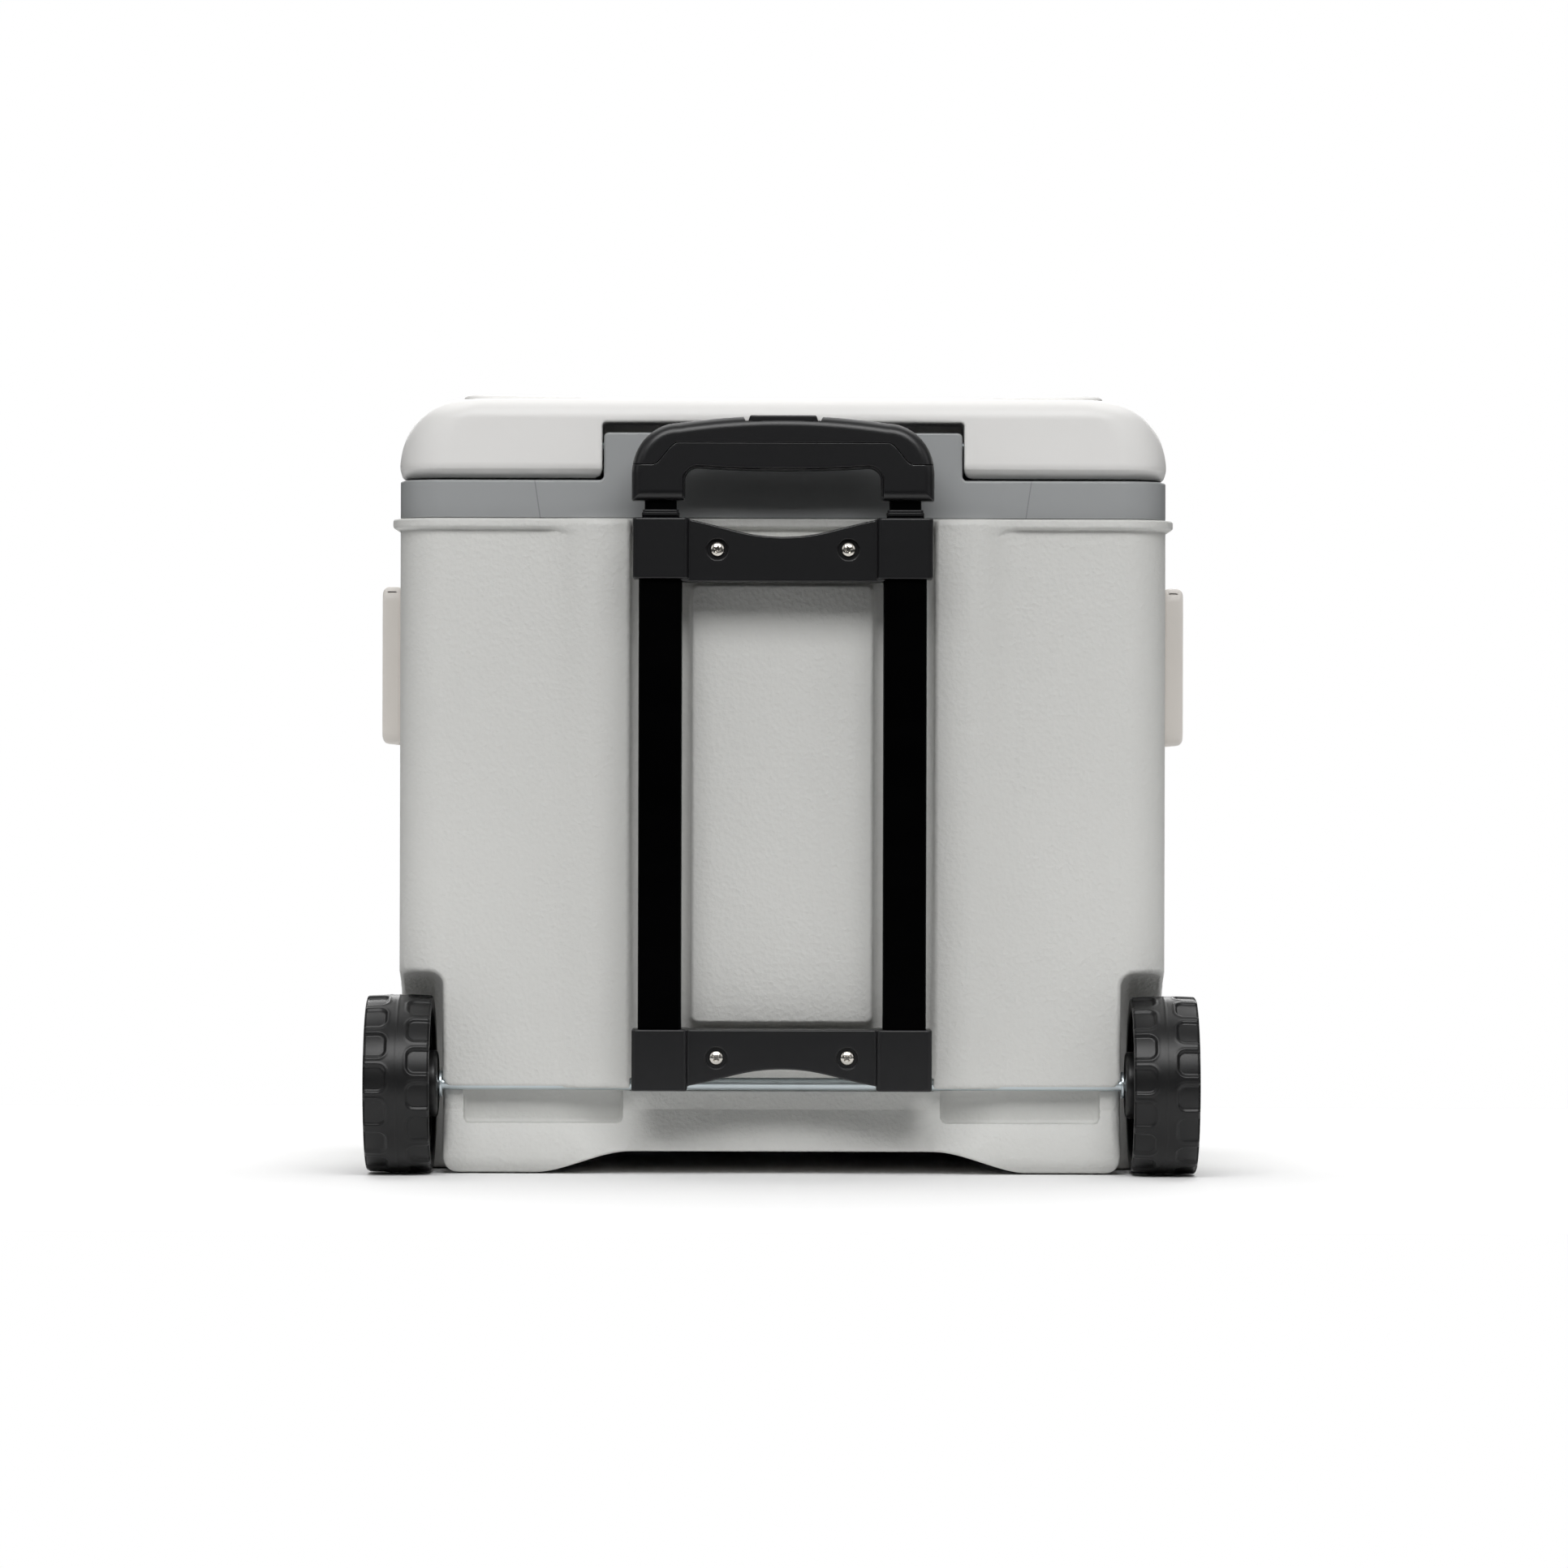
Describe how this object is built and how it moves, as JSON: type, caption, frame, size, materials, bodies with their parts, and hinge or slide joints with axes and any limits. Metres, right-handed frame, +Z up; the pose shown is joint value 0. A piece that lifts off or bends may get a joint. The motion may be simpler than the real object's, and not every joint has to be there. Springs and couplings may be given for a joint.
{
  "type": "wheeled cooler",
  "caption": "Hard insulated cooler on wheels with a hinged lid, a two-stage telescoping handle and swing-up side handles.",
  "frame": {"origin": "on the floor under the middle of the cooler's overall box", "axes": "+X across the cooler along the axle, +Y from the trolley handle towards the front, +Z up"},
  "size_m": [0.557, 0.4646, 0.5255],
  "materials": {
    "textured_shell": "matte",
    "lid_plastic": "satin",
    "collar_plastic": "satin",
    "liner_plastic": "satin",
    "foam": "matte",
    "handle_plastic": "satin",
    "black_plastic": "satin",
    "wheel_plastic": "satin",
    "black_tube": "gloss",
    "zinc_steel": "satin",
    "spring_steel": "satin",
    "black_rubber": "matte"
  },
  "bodies": {
    "cooler_body": {"outer_shell": "textured_shell", "inner_liner": "liner_plastic", "insulation_foam": "foam", "rim_collar": "collar_plastic", "lid_hinge_pin_left": "zinc_steel", "lid_hinge_pin_right": "zinc_steel", "axle": "zinc_steel", "axle_washer_left": "zinc_steel", "axle_washer_right": "zinc_steel", "axle_push_nut_left": "zinc_steel", "axle_push_nut_right": "zinc_steel", "outer_tube_left": "black_tube", "outer_tube_right": "black_tube", "upper_bracket": "black_plastic", "lower_bracket": "black_plastic", "bracket_screw_upper_left": "zinc_steel", "bracket_screw_upper_right": "zinc_steel", "bracket_screw_lower_left": "zinc_steel", "bracket_screw_lower_right": "zinc_steel", "side_handle_plate_left": "handle_plastic", "side_handle_plate_right": "handle_plastic", "drain_fitting": "handle_plastic"},
    "lid": {"lid_cover": "lid_plastic", "lid_liner": "liner_plastic", "lid_foam": "foam"},
    "wheel_left": {"wheel_tread_left": "wheel_plastic", "wheel_core_left": "wheel_plastic", "hub_cap_left": "black_plastic"},
    "wheel_right": {"wheel_tread_right": "wheel_plastic", "wheel_core_right": "wheel_plastic", "hub_cap_right": "black_plastic"},
    "middle_stage": {"middle_tube_left": "black_tube", "middle_tube_right": "black_tube", "tube_ferrule_left": "black_plastic", "tube_ferrule_right": "black_plastic"},
    "upper_stage": {"inner_tube_left": "black_tube", "inner_tube_right": "black_tube", "inner_tube_plug_left": "black_plastic", "inner_tube_plug_right": "black_plastic", "grip_lower_shell": "black_plastic", "grip_upper_shell": "black_plastic", "button_spring": "spring_steel"},
    "release": {"release_button": "black_plastic", "release_link": "zinc_steel"},
    "side_handle_left": {"side_handle_left": "handle_plastic"},
    "side_handle_right": {"side_handle_right": "handle_plastic"},
    "drain_seal": {"drain_gasket": "black_rubber"},
    "drain_cap": {"drain_cap": "black_plastic"}
  },
  "joints": [
    {"name": "lid_hinge", "type": "hinge", "parent": "cooler_body", "child": "lid", "pos_m": [0, -0.16675, 0.4895], "axis": [1, 0, 0], "range_deg": [0, 88]},
    {"name": "wheel_spin_left", "type": "hinge", "parent": "cooler_body", "child": "wheel_left", "pos_m": [-0.2565, -0.17225, 0.06], "axis": [1, 0, 0], "continuous": true},
    {"name": "wheel_spin_right", "type": "hinge", "parent": "cooler_body", "child": "wheel_right", "pos_m": [0.2565, -0.17225, 0.06], "axis": [1, 0, 0], "continuous": true},
    {"name": "handle_lower_slide", "type": "slide", "parent": "cooler_body", "child": "middle_stage", "axis": [0, 0, 1], "range_m": [0, 0.255]},
    {"name": "handle_upper_slide", "type": "slide", "parent": "middle_stage", "child": "upper_stage", "axis": [0, 0, 1], "range_m": [0, 0.255]},
    {"name": "release_button_press", "type": "slide", "parent": "upper_stage", "child": "release", "axis": [0, 0, -1], "range_m": [0, 0.0035], "stiffness_N_per_m": 800, "springref_m": -0.003, "deforming": ["button_spring"]},
    {"name": "side_handle_swing_left", "type": "hinge", "parent": "cooler_body", "child": "side_handle_left", "pos_m": [-0.2701, 0.02425, 0.39], "axis": [0, 1, 0], "range_deg": [0, 95]},
    {"name": "side_handle_swing_right", "type": "hinge", "parent": "cooler_body", "child": "side_handle_right", "pos_m": [0.2701, 0.02425, 0.39], "axis": [0, -1, 0], "range_deg": [0, 95]},
    {"name": "drain_cap_travel", "type": "slide", "parent": "cooler_body", "child": "drain_seal", "axis": [1, 0, 0], "range_m": [0, 0.008]},
    {"name": "drain_cap_turn", "type": "hinge", "parent": "drain_seal", "child": "drain_cap", "pos_m": [0.265, 0.11825, 0.056], "axis": [1, 0, 0], "range_deg": [0, 720]}
  ],
  "couplings": [
    {"joint": "drain_cap_travel", "follows": "drain_cap_turn", "m_per_rad": 0.000636}
  ]
}
